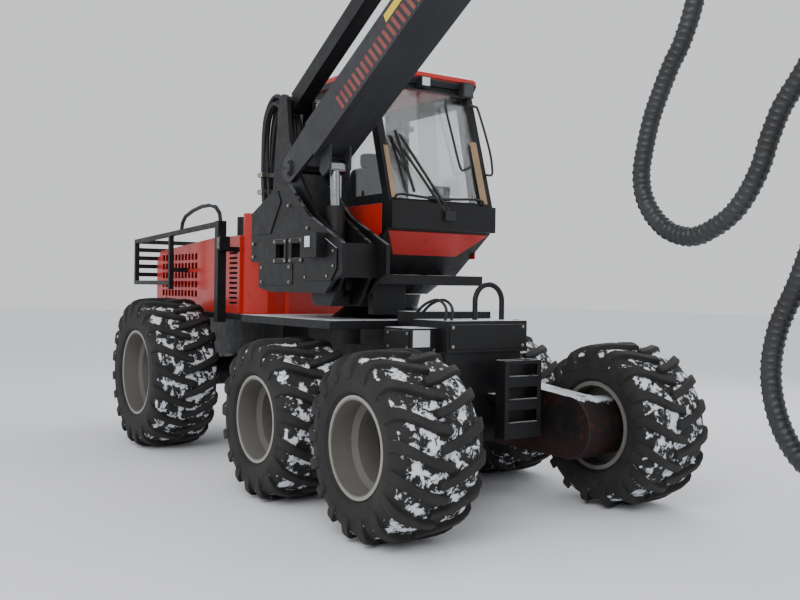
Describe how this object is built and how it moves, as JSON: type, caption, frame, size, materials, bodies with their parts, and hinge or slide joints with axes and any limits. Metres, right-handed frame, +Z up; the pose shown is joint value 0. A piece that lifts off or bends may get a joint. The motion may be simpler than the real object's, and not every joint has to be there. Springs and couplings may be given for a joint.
{
  "type": "forestry harvester",
  "caption": "Articulated six-wheeled forestry harvester with slewing cab, telescopic parallel crane and hanging harvester head.",
  "frame": {"origin": "on the ground, under the middle of the machine's outline with the crane parked forward", "axes": "+X forward along the machine, +Y to its left, +Z up"},
  "size_m": [10.7092, 2.96, 5.5482],
  "materials": {
    "black_paint": "satin",
    "charcoal_paint": "satin",
    "red_paint": "gloss",
    "silver_paint": "satin",
    "tyre": "matte",
    "bare_steel": "worn",
    "chrome": "polished",
    "window_glass": "clear",
    "seat_fabric": "woven",
    "hose_rubber": "matte",
    "cast_iron": "cast"
  },
  "bodies": {
    "carrier": {"front_frame": "black_paint", "nose_box": "black_paint", "front_steps": "black_paint", "front_deck": "black_paint", "bogie_axle": "black_paint", "bogie_right": "black_paint", "bogie_left": "black_paint", "pedestal": "black_paint"},
    "rear_carrier": {"rear_frame": "black_paint", "rear_axle": "black_paint", "bulkhead": "red_paint", "engine": "cast_iron"},
    "hood": {"hood": "red_paint", "hood_guard": "black_paint", "exhaust": "black_paint"},
    "upper": {"platform": "black_paint", "crane_base": "black_paint", "cab_shell": "red_paint", "cab_roof": "red_paint", "cab_glass": "window_glass", "seat": "seat_fabric"},
    "door": {"cab_door": "red_paint", "door_glass": "window_glass"},
    "boom": {"boom": "charcoal_paint"},
    "tie_rod": {"tie_rod": "black_paint"},
    "rocker": {"rocker": "black_paint"},
    "jib": {"jib": "black_paint", "hose_loop": "hose_rubber"},
    "extension": {"extension": "charcoal_paint", "head_hose": "hose_rubber"},
    "lift_barrel": {"lift_barrel": "black_paint"},
    "lift_rod": {"lift_rod": "chrome"},
    "jib_barrel": {"jib_barrel": "black_paint"},
    "jib_rod": {"jib_rod": "chrome"},
    "link": {"link": "black_paint"},
    "rotator": {"rotator": "black_paint"},
    "hanger": {"hanger": "black_paint"},
    "head": {"head_frame": "black_paint"},
    "knife_right": {"knife_right": "bare_steel"},
    "knife_left": {"knife_left": "bare_steel"},
    "feed_arm_right": {"feed_arm_right": "black_paint"},
    "feed_arm_left": {"feed_arm_left": "black_paint"},
    "feed_roller_right": {"feed_roller_right": "bare_steel"},
    "feed_roller_left": {"feed_roller_left": "bare_steel"},
    "saw_bar": {"saw_bar": "bare_steel"},
    "wheel_front_right": {"tyre_front_right": "tyre", "rim_front_right": "silver_paint"},
    "wheel_front_left": {"tyre_front_left": "tyre", "rim_front_left": "silver_paint"},
    "wheel_middle_right": {"tyre_middle_right": "tyre", "rim_middle_right": "silver_paint"},
    "wheel_middle_left": {"tyre_middle_left": "tyre", "rim_middle_left": "silver_paint"},
    "wheel_rear_right": {"tyre_rear_right": "tyre", "rim_rear_right": "silver_paint"},
    "wheel_rear_left": {"tyre_rear_left": "tyre", "rim_rear_left": "silver_paint"}
  },
  "joints": [
    {"name": "wheel_front_right", "type": "hinge", "parent": "carrier", "child": "wheel_front_right", "pos_m": [0.9555, -1.125, 0.665], "axis": [0, 1, 0], "continuous": true},
    {"name": "wheel_front_left", "type": "hinge", "parent": "carrier", "child": "wheel_front_left", "pos_m": [0.9555, 1.125, 0.665], "axis": [0, 1, 0], "continuous": true},
    {"name": "wheel_middle_right", "type": "hinge", "parent": "carrier", "child": "wheel_middle_right", "pos_m": [-0.6245, -1.125, 0.665], "axis": [0, 1, 0], "continuous": true},
    {"name": "wheel_middle_left", "type": "hinge", "parent": "carrier", "child": "wheel_middle_left", "pos_m": [-0.6245, 1.125, 0.665], "axis": [0, 1, 0], "continuous": true},
    {"name": "wheel_rear_right", "type": "hinge", "parent": "rear_carrier", "child": "wheel_rear_right", "pos_m": [-3.6245, -1.125, 0.805], "axis": [0, 1, 0], "continuous": true},
    {"name": "wheel_rear_left", "type": "hinge", "parent": "rear_carrier", "child": "wheel_rear_left", "pos_m": [-3.6245, 1.125, 0.805], "axis": [0, 1, 0], "continuous": true},
    {"name": "frame_steering", "type": "hinge", "parent": "carrier", "child": "rear_carrier", "pos_m": [-2.0345, 0, 0.98], "axis": [0, 0, 1], "range_deg": [-40, 40]},
    {"name": "hood_lift", "type": "hinge", "parent": "rear_carrier", "child": "hood", "pos_m": [-5.1245, 0, 1.5], "axis": [0, -1, 0], "range_deg": [0, 60]},
    {"name": "slewing", "type": "hinge", "parent": "carrier", "child": "upper", "pos_m": [-0.9845, 0, 1.7], "axis": [0, 0, 1], "continuous": true},
    {"name": "cab_door", "type": "hinge", "parent": "upper", "child": "door", "pos_m": [-1.7395, 0.76, 2.6], "axis": [0, 0, 1], "range_deg": [0, 95]},
    {"name": "boom_lift", "type": "hinge", "parent": "upper", "child": "boom", "pos_m": [-1.0345, -0.765, 2.79], "axis": [0, 1, 0], "range_deg": [-45, 35]},
    {"name": "tie_rod_swing", "type": "hinge", "parent": "upper", "child": "tie_rod", "pos_m": [-1.2445, -0.765, 3.39], "axis": [0, 1, 0], "range_deg": [-45, 35]},
    {"name": "rocker_level", "type": "hinge", "parent": "boom", "child": "rocker", "pos_m": [2.62099, -0.765, 4.85818], "axis": [0, -1, 0], "range_deg": [-45, 35]},
    {"name": "jib_fold", "type": "hinge", "parent": "rocker", "child": "jib", "pos_m": [3.04099, -0.765, 4.79818], "axis": [0, -1, 0], "range_deg": [-37, 60]},
    {"name": "jib_extend", "type": "slide", "parent": "jib", "child": "extension", "axis": [0.7986, 0, -0.6018], "range_m": [0, 1.2], "deforming": ["hose_loop"]},
    {"name": "lift_barrel_swing", "type": "hinge", "parent": "upper", "child": "lift_barrel", "pos_m": [-0.4845, -0.765, 1.66], "axis": [0, 1, 0], "range_deg": [-0.357, 0.459]},
    {"name": "lift_rod_slide", "type": "slide", "parent": "lift_barrel", "child": "lift_rod", "axis": [-0.0507, 0, 0.9987], "range_m": [-0.27626, 0.3552]},
    {"name": "jib_barrel_swing", "type": "hinge", "parent": "rocker", "child": "jib_barrel", "pos_m": [3.15099, -0.765, 5.09818], "axis": [0, -1, 0], "range_deg": [-37.29, 60.47]},
    {"name": "jib_rod_slide", "type": "slide", "parent": "jib_barrel", "child": "jib_rod", "axis": [0.8383, 0, -0.5453], "range_m": [-0.31152, 0.1921]},
    {"name": "link_swing", "type": "hinge", "parent": "extension", "child": "link", "pos_m": [4.81396, -0.765, 3.46215], "axis": [0, 1, 0], "range_deg": [-37, 60], "deforming": ["head_hose"]},
    {"name": "link_sway", "type": "hinge", "parent": "link", "child": "rotator", "pos_m": [4.81396, -0.765, 3.21215], "axis": [1, 0, 0], "range_deg": [-25, 25]},
    {"name": "rotator_turn", "type": "hinge", "parent": "rotator", "child": "hanger", "pos_m": [4.81396, -0.765, 2.80715], "axis": [0, 0, 1], "continuous": true},
    {"name": "head_tilt", "type": "hinge", "parent": "hanger", "child": "head", "pos_m": [4.81396, -0.765, 2.24715], "axis": [0, 1, 0], "range_deg": [0, 95]},
    {"name": "knife_right", "type": "hinge", "parent": "head", "child": "knife_right", "pos_m": [4.84496, -0.915, 2.00715], "axis": [0, 0, -1], "range_deg": [0, 60]},
    {"name": "feed_arm_right", "type": "hinge", "parent": "head", "child": "feed_arm_right", "pos_m": [4.84996, -0.98, 1.26715], "axis": [0, 0, -1], "range_deg": [0, 30]},
    {"name": "feed_roller_right", "type": "hinge", "parent": "feed_arm_right", "child": "feed_roller_right", "pos_m": [5.09996, -1.055, 1.47715], "axis": [0, 0, 1], "continuous": true},
    {"name": "knife_left", "type": "hinge", "parent": "head", "child": "knife_left", "pos_m": [4.84496, -0.615, 2.00715], "axis": [0, 0, 1], "range_deg": [0, 60]},
    {"name": "feed_arm_left", "type": "hinge", "parent": "head", "child": "feed_arm_left", "pos_m": [4.84996, -0.55, 1.26715], "axis": [0, 0, 1], "range_deg": [0, 30]},
    {"name": "feed_roller_left", "type": "hinge", "parent": "feed_arm_left", "child": "feed_roller_left", "pos_m": [5.09996, -0.475, 1.47715], "axis": [0, 0, 1], "continuous": true},
    {"name": "saw_bar_swing", "type": "hinge", "parent": "head", "child": "saw_bar", "pos_m": [4.66996, -0.565, 0.67715], "axis": [0, 0, 1], "range_deg": [0, 100]}
  ],
  "couplings": [
    {"joint": "tie_rod_swing", "follows": "boom_lift", "ratio": 1},
    {"joint": "rocker_level", "follows": "boom_lift", "ratio": 1},
    {"joint": "lift_barrel_swing", "follows": "boom_lift", "ratio": -0.01},
    {"joint": "lift_rod_slide", "follows": "boom_lift", "m_per_rad": -0.45},
    {"joint": "jib_barrel_swing", "follows": "jib_fold", "ratio": 0.988},
    {"joint": "jib_rod_slide", "follows": "jib_fold", "m_per_rad": -0.296},
    {"joint": "knife_left", "follows": "knife_right", "ratio": 1},
    {"joint": "feed_arm_left", "follows": "feed_arm_right", "ratio": 1}
  ]
}
